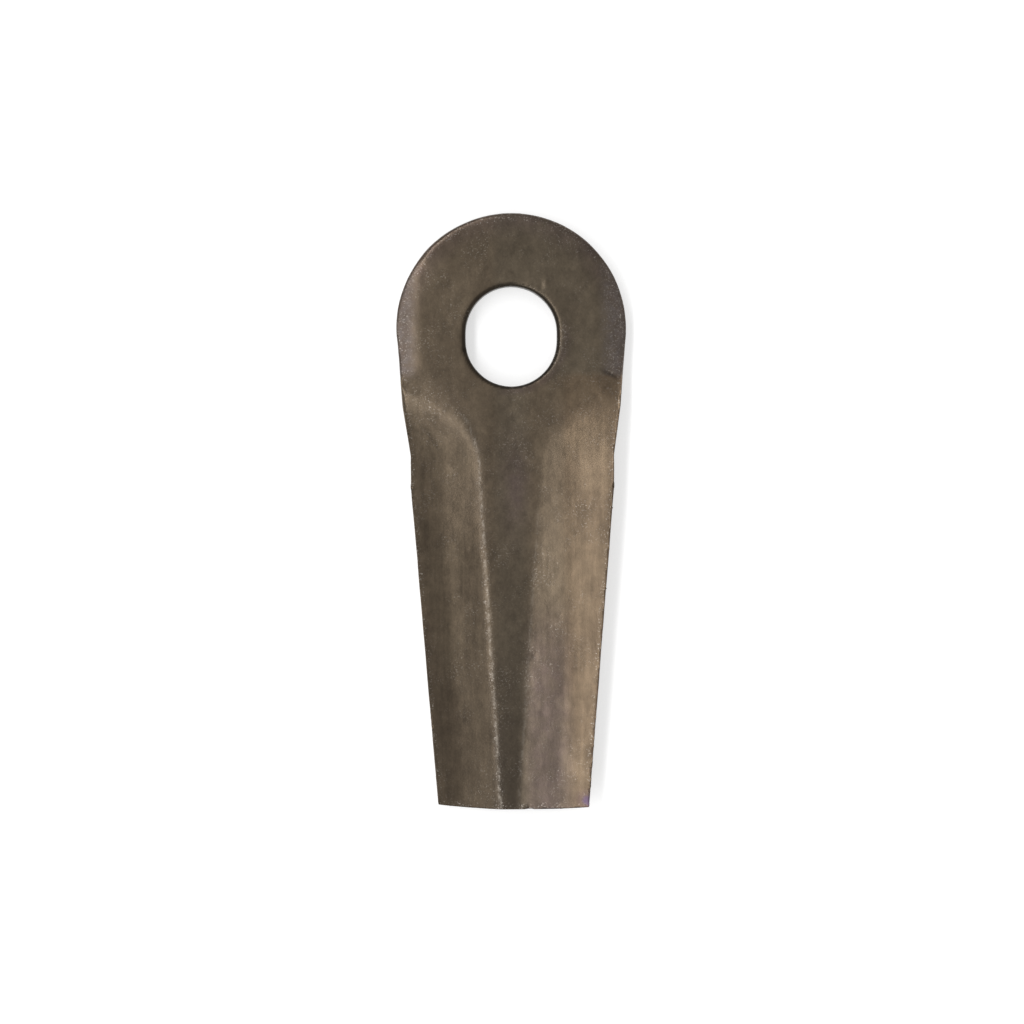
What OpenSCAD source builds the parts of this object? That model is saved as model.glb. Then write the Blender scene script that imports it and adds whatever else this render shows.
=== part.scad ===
// Rotary mower blade, forged in one piece from flat steel, in millimetres.
// The origin is the middle of the pivot slot, half way through the head's thickness.
// +Y runs to the round end of the head, the tip points along -Y, +Z is the face seen from above.
// Seen from above the left wing bends down and the right wing bends up.
// A half turn about Y lays the blade on itself, so it can be turned over when one edge is dull.

/* [Head] */
// width of the round head
head_w = 48; // [46:0.5:52]
// thickness of the flat stock
thickness = 4; // [3.5:0.1:5]
// distance of the head's round centre from the pivot, towards the head's end
head_offset = 1.77; // [0.5:0.05:2.5]
// lean of the head's sides towards the middle line, in degrees
head_lean = 4.5; // [3:0.1:6]
// distance from the middle line to the bevel on the side that bends down
bevel_low_x = 20; // [18.5:0.1:21]
// distance from the middle line to the bevel on the side that bends up
bevel_high_x = 18.6; // [18:0.1:21]
// slope of the bevels on the head's sides, in degrees
bevel_slope = 9; // [5:0.5:12]
// slope of the run out at the lower end of those bevels, in degrees
bevel_run_out = 25; // [15:1:60]
// small chamfer round the end of the head
head_chamfer = 0.5; // [0.2:0.05:0.8]

/* [Pivot slot] */
// width of the slot, a running fit on the pivot bolt
slot_w = 19; // [17:0.1:20.5]
// length of the slot along the blade
slot_l = 20.8; // [20.6:0.1:23]
// rounded lip of the slot, made as a chamfer
slot_lip = 0.5; // [0.2:0.05:0.9]

/* [Blade outline] */
// distance from the pivot to the tip, which sets the cutting circle
reach = 98.6; // [92:0.1:110]
// radius of the shallow curve of the tip
tip_round = 200; // [120:5:300]
// width of the blade below the shoulders
neck_w = 42.5; // [40:0.5:43.5]
// width of the blade at the tip
tip_w = 31.4; // [27:0.1:36]
// distance from the pivot to where the shoulders begin
shoulder_y = 14.6; // [13:0.1:17]
// distance from the pivot to where the shoulders end
neck_y = 24.8; // [22:0.1:28]
// distance from the pivot to where the blade begins to narrow
taper_y = 31.5; // [29:0.1:36]

/* [Wings] */
// slope of the wing that bends down, in degrees
fall_slope = 17; // [12:0.5:17.5]
// slope of the cutting strip on the wing that bends down, in degrees
fall_edge_slope = 22.5; // [19:0.5:24]
// slope of the wing that bends up, in degrees
rise_slope = 7; // [6:0.5:9]
// slope of the strip on the wing that bends up, in degrees
rise_edge_slope = 10.5; // [9.5:0.5:13]
// distance of the outward fold from the middle line at the neck
fall_fold_root = 6.9; // [5:0.1:8]
// distance of the outward fold from the middle line at the tip
fall_fold_tip = 2.6; // [1.5:0.1:4]
// distance of the inward fold from the middle line at the neck
rise_fold_root = 6.2; // [4:0.1:7]
// distance of the inward fold from the middle line at the tip
rise_fold_tip = 1.1; // [0.8:0.1:3]
// width of the strips along both edges at the neck
strip_root = 6.6; // [5:0.1:7.4]
// width of the strips along both edges at the tip
strip_tip = 5.2; // [4:0.1:6]
// half width of the rounding on the outward fold
fall_round = 1.1; // [0.6:0.1:1.8]
// half width of the rounding on the inward fold
rise_round = 1; // [0.6:0.1:1.6]
// half width of the rounding where the cutting strip begins
fall_edge_round = 1; // [0.6:0.1:1.5]
// half width of the rounding where the rising strip begins
rise_edge_round = 2.4; // [1:0.1:2.8]

/* [Forged run out] */
// distance from the pivot to where the wings start to leave the head
flare_start = 8; // [6:0.5:9]
// length over which the folds come in from the head's sides
flare_length = 18; // [16:0.5:20]
// part of their slope that the wings have as soon as they leave the head
wing_first = 0.75; // [0.5:0.05:1]
// length over which the falling wing takes up the rest of its slope
build_length = 40; // [30:1:44]
// how far the folds stand outside their lines where they start
fold_flare = 19; // [18:0.5:20]
// how far the borders of the strips stand outside their lines where they start
strip_flare = 15; // [14.5:0.5:24]

/* [Hidden] */
$fn = 96;
half_t = thickness / 2;
head_r = head_w / 2;
neck_half = neck_w / 2;
tip_half = tip_w / 2;
flare_end = flare_start + flare_length;
clear = 1.2;

// Corners of the outline on the right side, from the head down.
// The sides start a hair inside the round, so that the two cross cleanly.
side_in = 0.04;
side_top_x = (head_r - side_in) * cos(head_lean);
side_top_y = head_offset - (head_r - side_in) * sin(head_lean);
shoulder_half = side_top_x - (side_top_y + shoulder_y) * tan(head_lean);
tip_taper = (neck_half - tip_half) / (reach - taper_y);
end_y = reach + 2;
end_half = neck_half - tip_taper * (end_y - taper_y);
side = [
    [side_top_x, side_top_y],
    [shoulder_half, -shoulder_y],
    [neck_half, -neck_y],
    [neck_half, -taper_y],
    [end_half, -end_y]
];

// Half width of the outline at a place along the blade.
edge_table = [
    [-end_y, end_half],
    [-taper_y, neck_half],
    [-neck_y, neck_half],
    [-shoulder_y, shoulder_half],
    [side_top_y, side_top_x],
    [head_r * 2, side_top_x]
];
function edge(y) = lookup(y, edge_table);

// A bend turns the face past its line, with a soft start over its rounding.
function bend(past, soft) =
    past <= -soft ? 0 : past >= soft ? past : pow(past + soft, 2) / (4 * soft);

// The wings leave the head with most of their slope, the falling one takes longer for the rest.
// The strips along the edges begin later, and softly.
function share(y) = min(1, max(0, (-y - flare_start) / flare_length));
function taken(y) = min(1, max(0, (-y - flare_start) / build_length));
function rise_share(y) = wing_first + (1 - wing_first) * share(y);
function fall_share(y) = wing_first + (1 - wing_first) * taken(y);
function strip_share(y) = pow(share(y), 2);
function flare(y, size) = size * pow(1 - share(y), 2);

// Straight line of a fold from the neck to the tip, then its flare into the head.
function along(y, root, tip) = root + (tip - root) * (-y - flare_end) / (reach - flare_end);
function fall_fold(y) = along(y, fall_fold_root, fall_fold_tip) + flare(y, fold_flare);
function rise_fold(y) = along(y, rise_fold_root, rise_fold_tip) + flare(y, fold_flare);
function strip_border(y) = edge(y) - along(y, strip_root, strip_tip) + flare(y, strip_flare);

// Height of the upper face.
function face_z(x, y) = half_t
    - fall_share(y) * tan(fall_slope) * bend(-x - fall_fold(y), fall_round)
    - strip_share(y) * (tan(fall_edge_slope) - tan(fall_slope)) * bend(-x - strip_border(y), fall_edge_round)
    + rise_share(y) * tan(rise_slope) * bend(x - rise_fold(y), rise_round)
    + strip_share(y) * (tan(rise_edge_slope) - tan(rise_slope)) * bend(x - strip_border(y), rise_edge_round);

// Half width of the forged faces, outside the outline and past the last bend.
function reach_x(y) = max(edge(y), strip_border(y) + rise_edge_round) + clear;

// Places across the blade at which the face is drawn, a few on each bend.
bend_steps = [-1, -0.6, -0.2, 0.2, 0.6, 1];
function across(y) = concat(
    [-reach_x(y)],
    [for (k = bend_steps) -strip_border(y) + k * fall_edge_round],
    [for (k = bend_steps) -fall_fold(y) + k * fall_round],
    [for (k = bend_steps) rise_fold(y) + k * rise_round],
    [for (k = bend_steps) strip_border(y) + k * rise_edge_round],
    [reach_x(y)]
);
columns = 4 * len(bend_steps) + 2;
last = columns - 1;
middle = last / 2;

// Places along the blade, close together where the wings leave the head.
flare_steps = 27;
build_steps = 7;
stations = concat(
    [for (i = [0:flare_steps]) -flare_start - flare_length * i / flare_steps],
    [for (i = [1:build_steps]) -flare_end - (build_length - flare_length) * i / build_steps],
    [-end_y]
);
rows = len(stations);

// Points of the upper face row by row, and the same points turned half round for the lower face.
upper = [for (y = stations) [for (x = across(y)) [x, y, face_z(x, y)]]];
upper_points = [for (row = upper) each row];
lower_points = [for (row = upper) each [for (j = [0:last]) [-row[last - j][0], row[0][1], -row[last - j][2]]]];
under = rows * columns;
function strip_pair(a, b, c, d) = [[a, b, c], [a, c, d]];
// Each square of the face is cut along its shorter diagonal, which follows the folds.
upper_faces = [for (i = [0:rows - 2], j = [0:last - 1]) let (a = i * columns + j)
    each j < middle
        ? strip_pair(a + 1, a + columns + 1, a + columns, a)
        : strip_pair(a, a + 1, a + columns + 1, a + columns)];
lower_faces = [for (f = upper_faces) [under + f[2], under + f[1], under + f[0]]];
left_faces = [for (i = [0:rows - 2]) let (a = i * columns)
    each strip_pair(a, a + columns, under + a + columns, under + a)];
right_faces = [for (i = [0:rows - 2]) let (a = i * columns + last)
    each strip_pair(a, under + a, under + a + columns, a + columns)];
head_faces = [for (j = [0:last - 1]) each strip_pair(j + 1, j, under + j, under + j + 1)];
tip_row = (rows - 1) * columns;
tip_faces = [for (j = [0:last - 1]) let (a = tip_row + j)
    each strip_pair(a, a + 1, under + a + 1, under + a)];

// Outline seen from above, with a true round head and a tip with a shallow curve.
module outline() {
    translate([0, head_offset])
        circle(r = head_r);
    intersection() {
        polygon(concat(side, [for (i = [len(side) - 1:-1:0]) [-side[i][0], side[i][1]]]));
        translate([0, tip_round - reach])
            circle(r = tip_round);
    }
}

// The flat head, down to where the wings start.
module head_outline() {
    intersection() {
        outline();
        translate([-head_w, -flare_start])
            square([2 * head_w, 2 * head_w]);
    }
}

// The forged faces, a little wider than the outline that trims them.
module forged_faces() {
    polyhedron(
        points = concat(upper_points, lower_points),
        faces = concat(upper_faces, lower_faces, left_faces, right_faces, head_faces, tip_faces),
        convexity = 4
    );
}

// Flat bevels on the two sides of the head, on the upper face.
module head_bevel(border_x, turn) {
    mirror([turn, 0, 0])
        translate([border_x, 0, half_t])
            rotate([0, bevel_slope, 0])
                rotate([90, 0, 90])
                    linear_extrude(height = head_r)
                        polygon([
                            [-flare_start, 0],
                            [head_w, 0],
                            [head_w, half_t],
                            [-flare_start - half_t / tan(bevel_run_out), half_t]
                        ]);
}

// Small chamfer along the round end of the head.
module end_chamfer() {
    translate([0, head_offset, 0])
        rotate([0, 0, 25])
            rotate_extrude(angle = 130)
                polygon([
                    [head_r - head_chamfer, half_t + 0.01],
                    [head_r + head_chamfer, half_t - 2 * head_chamfer + 0.01],
                    [head_r + head_chamfer, half_t + head_chamfer]
                ]);
}

// Oblong pivot slot: two round ends and the straight stretch between them.
module slot_shape(width) {
    travel = slot_l - slot_w;
    for (end = [-1, 1])
        translate([0, end * travel / 2])
            circle(d = width);
    square([width, travel], center = true);
}

// Chamfered lip of the slot on the upper face.
module slot_lip_cut() {
    travel = slot_l - slot_w;
    for (end = [-1, 1])
        translate([0, end * travel / 2, half_t - slot_lip])
            cylinder(r1 = slot_w / 2, r2 = slot_w / 2 + 2 * slot_lip, h = 2 * slot_lip);
    rotate([90, 0, 0])
        linear_extrude(height = travel, center = true)
            polygon([
                [-slot_w / 2, half_t - slot_lip],
                [slot_w / 2, half_t - slot_lip],
                [slot_w / 2 + 2 * slot_lip, half_t + slot_lip],
                [-slot_w / 2 - 2 * slot_lip, half_t + slot_lip]
            ]);
}

// The whole blade.
module blade() {
    color([0.36, 0.31, 0.26])
    difference() {
        union() {
            linear_extrude(height = thickness, center = true)
                head_outline();
            intersection() {
                linear_extrude(height = 6 * thickness, center = true)
                    outline();
                forged_faces();
            }
        }
        for (turn = [0, 180])
            rotate([0, turn, 0]) {
                head_bevel(bevel_low_x, 1);
                head_bevel(bevel_high_x, 0);
                end_chamfer();
                slot_lip_cut();
            }
        linear_extrude(height = 6 * thickness, center = true)
            slot_shape(slot_w);
    }
}

blade();
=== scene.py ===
"""Looks of the rotary mower blade: a fine forged copy, its brown skin, light, floor and camera."""
import math

import bmesh
import bpy
import numpy as np
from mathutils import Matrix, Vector
from mathutils.bvhtree import BVHTree
from mathutils.kdtree import KDTree


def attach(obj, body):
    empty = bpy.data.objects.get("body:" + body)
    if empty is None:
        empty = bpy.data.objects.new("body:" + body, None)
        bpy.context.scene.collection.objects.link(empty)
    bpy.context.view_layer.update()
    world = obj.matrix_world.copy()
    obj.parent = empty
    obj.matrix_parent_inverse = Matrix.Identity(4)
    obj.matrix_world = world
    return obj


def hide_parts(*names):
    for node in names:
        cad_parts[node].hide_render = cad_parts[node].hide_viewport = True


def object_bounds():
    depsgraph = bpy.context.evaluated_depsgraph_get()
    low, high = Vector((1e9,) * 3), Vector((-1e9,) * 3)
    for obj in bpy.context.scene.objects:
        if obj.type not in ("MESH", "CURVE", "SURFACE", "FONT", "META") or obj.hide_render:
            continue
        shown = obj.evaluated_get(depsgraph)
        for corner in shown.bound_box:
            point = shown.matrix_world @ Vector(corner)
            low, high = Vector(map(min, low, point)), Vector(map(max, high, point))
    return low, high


MM = 0.001
SEED = 41

# Fine mesh
VOXEL = 0.342 * MM
SMOOTH_PASSES = 3

# Outline of the wings, where the even mesh is brought back to the solid's edges
WING_TOP = -9.5 * MM
SHARP = math.radians(40.0)
EDGE_STEP = 0.05 * MM
EDGE_NEAR = 0.45 * MM
EDGE_ZONE = 0.9 * MM
EDGE_WEAR = 0.06 * MM
WING_EASE = 2.5 * MM
ON_EDGE = 0.55 * VOXEL
CUT_OFF = 0.75 * VOXEL
CUT_DEPTH = 0.15 * VOXEL

# Passes of evening out: for bevels and folds, then more for the run-outs; by the head; clear of the outline
EVEN_PASSES = (40, 110)
HEAD_PASSES = 400
OUTLINE_PASSES = 220

# Sizes of the head
HEAD_RADIUS = 24.0 * MM
HEAD_OFFSET = 1.77 * MM
BEVEL_LEFT = 20.0 * MM
BEVEL_RIGHT = 18.6 * MM

# Lines of the folds and of the right outline: places along and across the blade in millimetres
LEFT_FOLD = ((-98.6, -2.6), (-30.5, -6.6), (-24.8, -6.9), (-20.6, -8.1), (-17.5, -9.4), (-15.9, -10.7))
RIGHT_FOLD = ((-98.6, 1.1), (-26.0, 6.2))
OUTLINE = ((-98.6, 15.7), (-31.5, 21.25), (-24.8, 21.25), (-14.6, 24.0))
CREASE_WIDTH = 0.28

# Unevenness of the faces, the sides and the head's bevels: height and length in millimetres, number of waves
FACE_WAVES = ((0.018, 12.0, 40), (0.006, 6.0, 50), (0.0018, 2.6, 60))
SIDE_WAVES = (0.004, 5.0, 40)
RIM_WAVES = (0.010, 1.6, 60)

# Pits on the forged faces
PIT_COUNT = 170
PIT_RADIUS = (0.35, 0.9)
PIT_DEPTH = (0.006, 0.03)

# Nicks of wear: x, y, z, radius and depth in millimetres, a negative depth is a bump
NICKS = (
    (-9.6, -2.9, 1.9, 0.5, 0.6),
    (6.3, 10.2, 2.0, 0.8, 0.10),
    (7.2, 11.2, 2.0, 0.6, -0.07),
    (3.4, -98.5, 1.9, 0.8, 0.25),
)

# Laps in the forging, and the dark line where the right wing's fold leaves the head, its darkening painted
# shade: both ends, then width and depth in millimetres and how much darker each is
LAPS_AND_FOLD_SHADE = (
    # the dark line where the right wing's fold leaves the head, darkened as painted shade
    ((18.6, -7.0), (22.8, -8.9), 0.42, 0.16, 0.60),
    ((-18.4, -19.0), (-15.4, -24.2), 0.60, 0.030, 0.14),
    ((-14.3, -24.8), (-11.4, -28.2), 0.60, 0.025, 0.14),
)

# Lighter and darker patches, partly the skin's own tone and wear, partly painted light and shade: middle
# across and along, half width and half length in millimetres, gain
PATCHES = (
    (0.0, 20.0, 14.0, 6.0, -0.15),
    (-15.0, -8.0, 5.0, 5.0, 0.08),
    (-17.5, -23.0, 4.0, 6.0, 0.14),
    (-18.0, -15.0, 4.5, 4.0, -0.14),
    (-11.5, -18.5, 3.0, 3.5, -0.14),
    (-7.0, -27.0, 1.8, 5.0, -0.10),
    (-9.8, -22.0, 2.2, 3.5, -0.15),
    # painted light on the right edge of the neck, which lies in shade
    (21.5, -17.0, 2.5, 6.0, 0.26),
    (18.0, -11.5, 5.0, 3.5, 0.16),
    (9.8, -18.5, 2.5, 3.5, 0.18),
    (6.0, -22.0, 2.0, 4.0, 0.08),
    (0.5, -24.0, 4.0, 12.0, -0.07),
    (9.0, -7.0, 3.0, 4.0, -0.14),
    (-9.7, -2.9, 0.4, 0.4, -0.50),
    (0.5, -62.0, 4.0, 16.0, -0.17),
    (18.0, -38.0, 4.0, 12.0, -0.08),
    (15.0, -76.0, 3.5, 18.0, 0.10),
    (6.5, -75.0, 4.0, 20.0, -0.17),
    (8.0, -94.0, 6.0, 8.0, -0.08),
    (-9.0, -94.0, 6.0, 8.0, 0.08),
)

# Places with more bare specks: middle across and along, half width and half length in millimetres, share
SPECKLED = (
    (-17.0, -12.0, 4.5, 4.0, 0.75),
    (-11.0, -16.5, 2.0, 2.5, 0.60),
    (22.0, -13.0, 1.2, 5.0, 0.70),
    (-4.2, -94.0, 2.0, 5.0, 0.60),
    (3.5, -68.0, 2.0, 10.0, 0.45),
)

# Gains of tone: painted light at the edges, painted shade at the slot and along the left fold
RIGHT_EDGE_PAINTED_LIGHT = 1.2
LEFT_EDGE_PAINTED_LIGHT = 0.5
LIP_PAINTED_SHADE = 0.62
RING_PAINTED_SHADE = 0.12
CREST_PAINTED_SHADE = 0.26
CREST_TIP_PAINTED_SHADE = 0.20

# Colours of the skin, with a painted shade and a line that is partly painted highlight
DARK_SKIN = (0.076, 0.059, 0.041, 1)
LIGHT_SKIN = (0.104, 0.082, 0.057, 1)
# painted shade, darker towards the tip on the band and left wing
SHADE = (0.022, 0.017, 0.014, 1)
GOLD_TINT = (1.06, 0.975, 0.905, 1)
PURPLE_TINT = (0.97, 0.92, 1.10, 1)
STAIN = (0.080, 0.055, 0.095, 1)
PALE_RIM = (0.135, 0.117, 0.112, 1)
# partly bare metal, partly painted highlight along the folds
WEAR_AND_HIGHLIGHT_LINE = (0.33, 0.295, 0.255, 1)
BARE_STEEL = (0.40, 0.36, 0.32, 1)

# Finish of the skin
METALLIC = 0.85
ROUGHNESS = (0.29, 0.35)
RIM_ROUGHNESS = 0.14
BUMP_STRENGTH = 0.27
BUMP_DEPTH = 0.03 * MM

# Camera, straight above the blade, turned a little as in the photo
LENS_MM = 100.0
SENSOR_MM = 36.0
FRAME_WIDTH = 213.3 * MM
ROLL_DEG = -0.25
AIM = Vector((0.0, -36.6 * MM, 2.0 * MM))

# Light
WORLD_LEVEL = 0.64
KEY_LEAN_DEG = 20.0
KEY_DISTANCE = 0.9
KEY_WIDTH = 0.12
KEY_LENGTH = 2.0
KEY_POWER = 6.4

# Floor
FLOOR_HALF = 1.5
FLOOR_GAP = 0.02 * MM
FLOOR_COLOUR = (0.65, 0.65, 0.65, 1)
FLOOR_GLOW = 0.52

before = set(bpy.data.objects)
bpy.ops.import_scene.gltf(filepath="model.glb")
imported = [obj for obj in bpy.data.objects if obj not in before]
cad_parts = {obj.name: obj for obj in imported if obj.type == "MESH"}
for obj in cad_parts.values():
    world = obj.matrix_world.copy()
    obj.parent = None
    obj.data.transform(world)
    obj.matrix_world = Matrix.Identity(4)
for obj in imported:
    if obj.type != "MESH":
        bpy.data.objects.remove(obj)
cad_low, cad_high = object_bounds()
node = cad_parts["blade"]
rng = np.random.default_rng(SEED)


def waves(points, wavelength, count):
    """Smooth random heights of about unit size, from waves of one length in many directions."""
    turn = rng.normal(size=(count, 3))
    turn /= np.linalg.norm(turn, axis=1)[:, None]
    length = wavelength * rng.uniform(0.7, 1.5, count)
    step = turn * (2 * math.pi / length)[:, None]
    phase = rng.uniform(0, 2 * math.pi, count)
    return np.sin(points @ step.T + phase).sum(1) / math.sqrt(count / 2)


def ease(value, low, high):
    """Soft step from 0 at low to 1 at high."""
    share = np.clip((value - low) / (high - low), 0, 1)
    return share * share * (3 - 2 * share)


def line_at(along, line):
    """Places across of a line, in millimetres, at places along the blade."""
    return np.interp(along / MM, *zip(*line))


def soft_patch(across, along, x, y, half_width, half_length):
    """A soft patch, 1 in its middle, its place and half sizes in millimetres."""
    return np.exp(-((across / MM - x) / half_width) ** 2 - ((along / MM - y) / half_length) ** 2)


def fine_copy(source, name):
    """The solid's own form on an even fine mesh."""
    mesh = source.data.copy()
    work = bmesh.new()
    work.from_mesh(mesh)
    bmesh.ops.remove_doubles(work, verts=work.verts, dist=0.001 * MM)
    work.to_mesh(mesh)
    work.free()
    piece = bpy.data.objects.new(name, mesh)
    bpy.context.scene.collection.objects.link(piece)
    remesh = piece.modifiers.new("even", "REMESH")
    remesh.mode = "VOXEL"
    remesh.voxel_size = VOXEL
    remesh.use_smooth_shade = True
    graph = bpy.context.evaluated_depsgraph_get()
    fine = bpy.data.meshes.new_from_object(piece.evaluated_get(graph))
    piece.modifiers.clear()
    piece.data = fine
    fine.materials.clear()
    return piece


def crisp_outline(source, place):
    """Places brought back to the solid near the sharp edges of its wings, and distances from those edges."""
    work = bmesh.new()
    work.from_mesh(source.data)
    bmesh.ops.remove_doubles(work, verts=work.verts, dist=0.001 * MM)
    points = []
    for line in work.edges:
        begin, end = (corner.co.copy() for corner in line.verts)
        if max(begin.y, end.y) < WING_TOP + EDGE_ZONE and line.calc_face_angle(0.0) > SHARP:
            steps = math.ceil((end - begin).length / EDGE_STEP) + 1
            points += [begin.lerp(end, k / steps) for k in range(steps + 1)]
    solid = BVHTree.FromBMesh(work)
    work.free()
    tree = KDTree(len(points))
    for k, point in enumerate(points):
        tree.insert(point, k)
    tree.balance()
    exact = place.copy()
    away = np.full(len(place), EDGE_ZONE)
    for k in np.flatnonzero(place[:, 1] < WING_TOP):
        here = Vector(place[k])
        on_edge, _, gap = tree.find(here)
        if gap < EDGE_ZONE:
            on_face, _, _, depth = solid.find_nearest(here)
            at_edge = gap < ON_EDGE or (gap < CUT_OFF and depth > CUT_DEPTH)
            exact[k] = on_edge if at_edge else on_face
            away[k] = 0.0 if at_edge else gap
    return exact, away


def corners(mesh):
    """Places and normals of the mesh's points, and its edges."""
    count = len(mesh.vertices)
    place = np.empty(count * 3)
    mesh.vertices.foreach_get("co", place)
    normal = np.empty(count * 3)
    mesh.vertex_normals.foreach_get("vector", normal)
    edge = np.empty(len(mesh.edges) * 2, dtype=np.int64)
    mesh.edges.foreach_get("vertices", edge)
    return place.reshape(-1, 3), normal.reshape(-1, 3), edge.reshape(-1, 2)


def spread(values, edge, passes, share=0.5):
    """Values evened out over neighbours."""
    count = len(values)
    degree = np.bincount(edge.ravel(), minlength=count).clip(1)
    flat = values.reshape(count, -1).copy()
    for _ in range(passes):
        total = np.empty_like(flat)
        for k in range(flat.shape[1]):
            total[:, k] = (
                np.bincount(edge[:, 0], flat[edge[:, 1], k], count)
                + np.bincount(edge[:, 1], flat[edge[:, 0], k], count)
            )
        flat += share * (total / degree[:, None] - flat)
    return flat.reshape(values.shape)


def bulge(place, normal, edge):
    """How far the face curves outward at each point, in turns of the normal per millimetre."""
    soft = spread(normal, edge, 6)
    soft /= np.linalg.norm(soft, axis=1)[:, None].clip(1e-9)
    run = place[edge[:, 1]] - place[edge[:, 0]]
    rise = soft[edge[:, 1]] - soft[edge[:, 0]]
    bend = (run * rise).sum(1) / (run * run).sum(1).clip(1e-18) * MM
    count = len(place)
    degree = np.bincount(edge.ravel(), minlength=count).clip(1)
    mean = (np.bincount(edge[:, 0], bend, count) + np.bincount(edge[:, 1], bend, count)) / degree
    return spread(mean, edge, 4)


def dents(place, spots):
    """Depth of small round dents, each a place, a radius and a depth."""
    depth = np.zeros(len(place))
    for spot, radius, deep in spots:
        near = ((place - spot) ** 2).sum(1) / radius ** 2
        inside = near < 6
        depth[inside] += deep * np.exp(-near[inside] * 1.6)
    return depth


def furrow(place, normal, begin, end, width):
    """Form of a shallow furrow on the upper face, between two places in millimetres, 1 where deepest."""
    begin, end = np.array(begin) * MM, np.array(end) * MM
    run = end - begin
    flat = place[:, :2] - begin
    share = np.clip(flat @ run / (run @ run), 0, 1)
    away = np.hypot(*(flat - share[:, None] * run).T)
    return np.exp(-(away / width) ** 2) * np.sin(math.pi * np.clip(share, 0.1, 0.9)) * (normal[:, 2] > 0.3)


def set_values(mesh, name, values):
    """One number a point, for the material."""
    layer = mesh.attributes.new(name, "FLOAT", "POINT")
    layer.data.foreach_set("value", np.asarray(values, dtype=np.float32))


# The forged piece
blade = fine_copy(node, "blade_forged")
mesh = blade.data
place, normal, edge = corners(mesh)
exact, away = crisp_outline(node, place)
place = spread(place, edge, SMOOTH_PASSES, 0.4)
crisp = (1 - ease(away, EDGE_NEAR, EDGE_ZONE)) * ease(WING_TOP - place[:, 1], 0.0, WING_EASE)
place += (exact - place) * crisp[:, None]
mesh.vertices.foreach_set("co", place.ravel())
mesh.update()
place, normal, edge = corners(mesh)
place -= normal * (EDGE_WEAR * crisp * (1 - ease(away, 0.0, EDGE_NEAR)))[:, None]
mesh.vertices.foreach_set("co", place.ravel())
mesh.update()
place, normal, edge = corners(mesh)

# Both faces are alike when the blade is turned over, so places across are counted as on the upper face
across = place[:, 0] * np.where(normal[:, 2] < 0, -1.0, 1.0)
along = place[:, 1].copy()
flat_share = ease(np.abs(normal[:, 2]), 0.75, 0.95)
side = 1 - flat_share
head_share = ease(along, -9.5 * MM, -7.0 * MM)
past_bevel = np.where(across < 0, -across - BEVEL_LEFT, across - BEVEL_RIGHT)

# The borders of the head's bevels and the upper ends of the folds are rounded over, within each face
tops = np.where(np.abs(normal[:, 2]) > 0.6, np.sign(normal[:, 2]), 0)
inner_edge = edge[(tops[edge[:, 0]] == tops[edge[:, 1]]) & (tops[edge[:, 0]] != 0)]
both = np.hstack((place, normal))
even_heights = []
for passes in EVEN_PASSES:
    both = spread(both, inner_edge, passes)
    even_place, even_normal = both[:, :3], both[:, 3:]
    step_aside = ((place - even_place) * even_normal)[:, :2].sum(1)
    upright = np.where(np.abs(even_normal[:, 2]) > 0.3, even_normal[:, 2], 1.0)
    even_heights.append(even_place[:, 2] - step_aside / upright)
soft, softer = even_heights
softest = spread(place[:, 2], inner_edge, HEAD_PASSES)
near_bevel = np.exp(-(past_bevel / (1.7 * MM)) ** 2) * head_share * flat_share
near_fold = 0.7 * ease(-along, 14 * MM, 22 * MM) * (1 - ease(-along, 34 * MM, 48 * MM)) * flat_share
inside = ease(spread(flat_share, edge, OUTLINE_PASSES), 0.62, 0.97)
near_run_out = np.exp(-((along + 17.0 * MM) / (5.0 * MM)) ** 2) * inside
near_head = np.exp(-((along + 11.0 * MM) / (4.5 * MM)) ** 2) * flat_share
for eased, share in ((soft, near_bevel), (soft, near_fold), (softer, near_run_out), (softest, near_head)):
    place[:, 2] += (eased - place[:, 2]) * share
mesh.vertices.foreach_set("co", place.ravel())
mesh.update()
place, normal, edge = corners(mesh)
curve = bulge(place, normal, edge)
rim = ease(past_bevel, -1.0 * MM, 2.4 * MM) * head_share * flat_share

# Unevenness of the forged faces
everywhere = np.ones(len(place))
lift = np.zeros(len(place))
for wave, share in [(wave, everywhere) for wave in FACE_WAVES] + [(SIDE_WAVES, side), (RIM_WAVES, rim)]:
    height, length, count = wave
    lift += height * MM * waves(place, length * MM, count) * share

# Pits strewn over the faces, clear of the outline
face_points = place[inside > 0.6]
spots = []
for _ in range(PIT_COUNT):
    home = face_points[rng.integers(len(face_points))]
    spots.append((home, rng.uniform(*PIT_RADIUS) * MM, rng.uniform(*PIT_DEPTH) * MM))

# Nicks of wear
for x, y, z, radius, deep in NICKS:
    spots.append((np.array((x, y, z)) * MM, radius * MM, deep * MM))

# Laps in the forging, and painted shade along the start of the right fold
lap_dark_and_fold_shade = np.zeros(len(place))
for begin, end, width, deep, dark in LAPS_AND_FOLD_SHADE:
    lap = furrow(place, normal, begin, end, width * MM)
    lift -= deep * MM * lap
    lap_dark_and_fold_shade += dark * lap
lift -= dents(place, spots)

place = place + normal * lift[:, None]
mesh.vertices.foreach_set("co", place.ravel())
mesh.update()
for face in mesh.polygons:
    face.use_smooth = True

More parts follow.
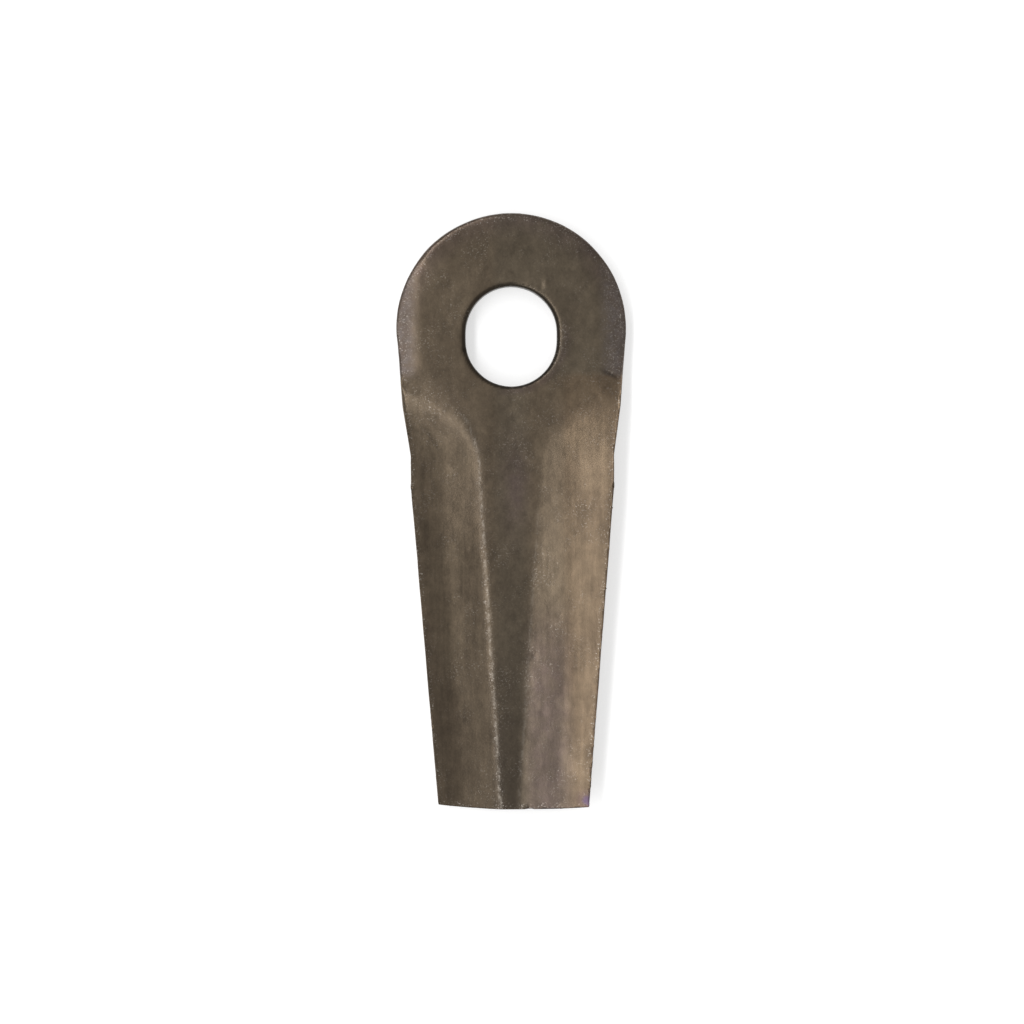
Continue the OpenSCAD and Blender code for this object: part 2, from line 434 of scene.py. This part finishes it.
# Shares for the skin: worn folds, bevels of the head, darker and tinted places, with painted light and shade
# among them
from_slot = np.hypot(place[:, 0], along)
worn = ease(curve, 0.02, 0.09) * ease(from_slot, 11.5 * MM, 13.0 * MM)
tipward = ease(-along, 40 * MM, 95 * MM)
band = 1 - ease(np.abs(across + 1.0 * MM), 2.0 * MM, 4.5 * MM)
left_wing = 1 - ease(across, -5.0 * MM, -2.0 * MM)
right_wing = ease(across, 1.5 * MM, 5.0 * MM) * (1 - head_share)
right_strip = ease(across, 9.0 * MM, 14.0 * MM) * (1 - head_share)
from_rim = HEAD_RADIUS - np.hypot(place[:, 0], np.maximum(along - HEAD_OFFSET, 0))
head_edge = 1 - ease(from_rim, 0.5 * MM, 6.0 * MM)
neck_patch = soft_patch(across, along, 0.7, -31.0, 2.6, 8.5)
corner_stain = soft_patch(across, along, 15.4, -96.6, 1.6, 1.6)
low_right = right_wing * (1 - right_strip) * ease(-along, 52 * MM, 72 * MM)
turn = normal[:, 0] * np.where(normal[:, 2] < 0, -1.0, 1.0)
from_outline = across / MM - line_at(along, OUTLINE)
# painted light on the right wing's outer edge, which lies in shade; the same share tints it purple
right_edge_light_and_tint = ease(turn, -0.16, 0.0) * ease(from_outline, -2.0, -0.8) * (1 - head_share)
right_edge_light_and_tint *= ease(np.abs(normal[:, 2]), 0.1, 0.4)
# painted light on the left wing's outer edge, which turns away from the light
left_edge_painted_light = ease(-turn, 0.5, 0.8) * left_wing * (1 - head_share)
from_left_fold = across / MM - line_at(along, LEFT_FOLD)
from_right_fold = across / MM - line_at(along, RIGHT_FOLD)
# a thin light line along the folds: partly bare metal, partly painted highlight
crease = np.exp(-(from_left_fold / CREASE_WIDTH) ** 2) * ease(-along, 15 * MM, 18 * MM)
crease += 0.5 * np.exp(-(from_right_fold / CREASE_WIDTH) ** 2) * ease(-along, 34 * MM, 40 * MM)
# painted shade along the crest of the left fold, dimming its highlight
crest_painted_shade = np.exp(-((from_left_fold - 0.1) / 0.9) ** 2) * ease(-along, 14 * MM, 18 * MM)
# painted shade on the wide lower right lip of the slot; the same share tints it purple
slot_ring_shade_and_tint = np.exp(-((from_slot - 11.4 * MM) / (0.9 * MM)) ** 2) * ease(across - along, 6 * MM, 12 * MM)
# painted shade on the slot's lip, dimming its highlight
slot_lip_painted_shade = (1 - ease(from_slot, 11.0 * MM, 12.2 * MM)) * ease(1 - np.abs(normal[:, 2]), 0.003, 0.03)

# Tone of the skin, with its lighter and darker patches, and painted light and shade
tone = np.ones(len(place))
for *spot, gain in PATCHES:
    tone += gain * soft_patch(across, along, *spot)
# painted light on the wings' outer edges
tone += RIGHT_EDGE_PAINTED_LIGHT * right_edge_light_and_tint + LEFT_EDGE_PAINTED_LIGHT * left_edge_painted_light
# laps darker, and painted shade along the start of the right fold
tone -= lap_dark_and_fold_shade
# painted shade on the slot's lip and around it
tone *= 1 - LIP_PAINTED_SHADE * slot_lip_painted_shade - RING_PAINTED_SHADE * slot_ring_shade_and_tint
# painted shade on the left fold's crest, stronger near the tip
tone *= 1 - crest_painted_shade * (CREST_PAINTED_SHADE + CREST_TIP_PAINTED_SHADE * ease(-along, 78 * MM, 92 * MM))

# Places with more bare specks
for *spot, share in SPECKLED:
    worn = np.maximum(worn, share * soft_patch(across, along, *spot))

set_values(mesh, "tone", tone)
set_values(mesh, "worn", worn)
set_values(mesh, "rim", rim)
set_values(mesh, "crease", crease * flat_share)
set_values(mesh, "wing", (1 - head_share) * ease(np.abs(normal[:, 0]), 0.05, 0.1))
# painted shade, darker towards the tip on the band and, less, on the left wing
set_values(mesh, "shade", tipward * np.maximum(band, 0.45 * left_wing))
purple = 0.8 * low_right + 0.7 * head_edge * head_share + 0.95 * neck_patch
purple += 0.5 * right_edge_light_and_tint + 0.6 * slot_ring_shade_and_tint + 3.0 * corner_stain
set_values(mesh, "purple", np.clip(purple, 0, 3.0))
gold = right_strip + 0.45 * right_wing * (1 - tipward) + 0.4 * left_wing
set_values(mesh, "gold", np.clip(gold, 0, 1))


# Skin of the steel
def steel():
    made = bpy.data.materials.new("forged_steel")
    made.use_nodes = True
    tree = made.node_tree
    nodes = tree.nodes
    nodes.clear()
    link = tree.links.new

    def put(kind, **settings):
        item = nodes.new(kind)
        for key, value in settings.items():
            setattr(item, key, value)
        return item

    def wire(value, socket):
        if isinstance(value, (int, float, tuple)):
            socket.default_value = value
        else:
            link(value, socket)

    def math_of(kind, a, b, clamp=False):
        item = put("ShaderNodeMath", operation=kind, use_clamp=clamp)
        wire(a, item.inputs[0])
        wire(b, item.inputs[1])
        return item.outputs[0]

    def stretch_range(value, low, high, to_low, to_high):
        item = put("ShaderNodeMapRange")
        item.clamp = True
        wire(value, item.inputs["Value"])
        for key, number in (("From Min", low), ("From Max", high), ("To Min", to_low), ("To Max", to_high)):
            item.inputs[key].default_value = number
        return item.outputs["Result"]

    def mixed(share, a, b, kind="MIX"):
        item = put("ShaderNodeMix", data_type="RGBA", blend_type=kind)
        wire(share, item.inputs[0])
        wire(a, item.inputs[6])
        wire(b, item.inputs[7])
        return item.outputs[2]

    def own(name):
        return put("ShaderNodeAttribute", attribute_name=name).outputs["Fac"]

    where = put("ShaderNodeTexCoord").outputs["Object"]

    def grain(scale, detail=2.0, rough=0.5, stretch=(1.0, 1.0, 1.0), warp=0.0):
        place_at = put("ShaderNodeMapping")
        link(where, place_at.inputs["Vector"])
        place_at.inputs["Scale"].default_value = tuple(1000.0 * s for s in stretch)
        item = put("ShaderNodeTexNoise")
        link(place_at.outputs[0], item.inputs["Vector"])
        item.inputs["Scale"].default_value = scale
        item.inputs["Detail"].default_value = detail
        item.inputs["Roughness"].default_value = rough
        item.inputs["Distortion"].default_value = warp
        return item.outputs["Fac"]

    worn = own("worn")
    rim_share = own("rim")
    wing = own("wing")

    broad = stretch_range(grain(0.09, 4.0, 0.6, (1.0, 0.6, 1.0)), 0.35, 0.65, 0.0, 1.0)
    cloud = stretch_range(grain(0.45, 5.0, 0.62, (1.0, 0.7, 1.0)), 0.3, 0.7, 0.0, 1.0)
    fine = stretch_range(grain(2.2, 4.0, 0.65), 0.25, 0.75, 0.0, 1.0)
    streak = stretch_range(grain(0.7, 5.0, 0.65, (1.0, 0.09, 1.0), 0.4), 0.3, 0.7, 0.0, 1.0)

    # Brown skin in clouds, with stains and painted shade towards the tip
    colour = mixed(broad, DARK_SKIN, LIGHT_SKIN)
    colour = mixed(1.0, colour, stretch_range(cloud, 0.0, 1.0, 0.80, 1.20), "MULTIPLY")
    colour = mixed(1.0, colour, stretch_range(fine, 0.0, 1.0, 0.91, 1.09), "MULTIPLY")
    streaked = mixed(1.0, colour, stretch_range(streak, 0.0, 1.0, 0.82, 1.18), "MULTIPLY")
    colour = mixed(wing, colour, streaked)
    # painted shade towards the tip
    colour = mixed(math_of("MULTIPLY", own("shade"), 0.45), colour, SHADE)
    ragged = stretch_range(grain(0.35, 5.0, 0.65), 0.3, 0.7, 0.5, 1.4)
    colour = mixed(own("gold"), colour, mixed(1.0, colour, GOLD_TINT, "MULTIPLY"))
    purple = math_of("MULTIPLY", own("purple"), ragged)
    tinted = mixed(1.0, colour, PURPLE_TINT, "MULTIPLY")
    colour = mixed(math_of("MINIMUM", purple, 1.0), colour, tinted)
    stain = stretch_range(purple, 1.4, 2.6, 0.0, 0.8)
    colour = mixed(stain, colour, STAIN)
    pale_rim = math_of("MULTIPLY", rim_share, stretch_range(grain(0.8, 4.0, 0.65), 0.3, 0.7, 0.1, 0.9))
    colour = mixed(math_of("MULTIPLY", pale_rim, 0.7), colour, PALE_RIM)
    # tone, with painted light at the edges and painted shade at the slot, the fold start and the left fold
    colour = mixed(1.0, colour, own("tone"), "MULTIPLY")

    # Light broken lines on the folds, partly bare metal and partly painted highlight
    dash = stretch_range(grain(1.1, 4.0, 0.7, (1.0, 0.6, 1.0)), 0.44, 0.62, 0.0, 0.28)
    colour = mixed(math_of("MULTIPLY", own("crease"), dash), colour, WEAR_AND_HIGHLIGHT_LINE)

    # Bare specks on folds, rims and here and there
    speck = stretch_range(grain(2.6, 3.0, 0.7), 0.57, 0.66, 0.0, 1.0)
    strewn = stretch_range(grain(0.15, 4.0, 0.65), 0.48, 0.68, 0.0, 0.4)
    at_fold = math_of("MULTIPLY", worn, stretch_range(grain(0.5, 3.0, 0.6), 0.35, 0.65, 0.1, 1.0))
    at_rim = math_of("MULTIPLY", rim_share, 0.5)
    bare = math_of("MULTIPLY", speck, math_of("MAXIMUM", math_of("MAXIMUM", at_fold, at_rim), strewn))
    colour = mixed(math_of("MULTIPLY", bare, 0.85, True), colour, BARE_STEEL)

    skin = put("ShaderNodeBsdfPrincipled")
    link(colour, skin.inputs["Base Color"])
    skin.inputs["Metallic"].default_value = METALLIC
    dull = math_of("MULTIPLY", rim_share, RIM_ROUGHNESS)
    link(math_of("ADD", stretch_range(fine, 0.0, 1.0, *ROUGHNESS), dull), skin.inputs["Roughness"])

    bump = put("ShaderNodeBump")
    bump.inputs["Strength"].default_value = BUMP_STRENGTH
    bump.inputs["Distance"].default_value = BUMP_DEPTH
    link(math_of("ADD", fine, cloud), bump.inputs["Height"])
    link(bump.outputs[0], skin.inputs["Normal"])
    out = put("ShaderNodeOutputMaterial")
    link(skin.outputs[0], out.inputs["Surface"])
    return made


mesh.materials.append(steel())
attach(blade, "root")
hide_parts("blade")

# Floor
floor_mesh = bpy.data.meshes.new("floor")
floor_z = cad_low.z - FLOOR_GAP
floor_corners = [(x * FLOOR_HALF, y * FLOOR_HALF, floor_z) for x, y in ((-1, -1), (1, -1), (1, 1), (-1, 1))]
floor_mesh.from_pydata(floor_corners, [], [(0, 1, 2, 3)])
floor = bpy.data.objects.new("floor", floor_mesh)
bpy.context.scene.collection.objects.link(floor)
pale = bpy.data.materials.new("pale_floor")
pale.use_nodes = True
pale_skin = pale.node_tree.nodes["Principled BSDF"]
pale_skin.inputs["Base Color"].default_value = FLOOR_COLOUR
pale_skin.inputs["Roughness"].default_value = 0.9
pale_skin.inputs["Emission Color"].default_value = (1, 1, 1, 1)
pale_skin.inputs["Emission Strength"].default_value = FLOOR_GLOW
pale_skin.inputs["Specular IOR Level"].default_value = 0.1
floor_mesh.materials.append(pale)

# World and key light
scene = bpy.context.scene
world = bpy.data.worlds.new("studio")
world.use_nodes = True
world.node_tree.nodes["Background"].inputs["Color"].default_value = (1, 1, 1, 1)
world.node_tree.nodes["Background"].inputs["Strength"].default_value = WORLD_LEVEL
scene.world = world

key_data = bpy.data.lights.new("key", "AREA")
key_data.shape = "RECTANGLE"
key_data.size = KEY_LENGTH
key_data.size_y = KEY_WIDTH
key_data.energy = KEY_POWER
key = bpy.data.objects.new("key", key_data)
lean = math.radians(KEY_LEAN_DEG)
key.location = AIM + Vector((-math.sin(lean), 0.0, math.cos(lean))) * KEY_DISTANCE
key.rotation_euler = (AIM - key.location).to_track_quat("-Z", "Y").to_euler()
scene.collection.objects.link(key)

# Camera
camera_data = bpy.data.cameras.new("camera")
camera_data.lens = LENS_MM
camera_data.sensor_width = SENSOR_MM
camera = bpy.data.objects.new("camera", camera_data)
camera.location = AIM + Vector((0, 0, FRAME_WIDTH * LENS_MM / SENSOR_MM))
camera.rotation_euler = (0, 0, math.radians(ROLL_DEG))
scene.collection.objects.link(camera)
scene.camera = camera
scene.view_settings.view_transform = "Standard"
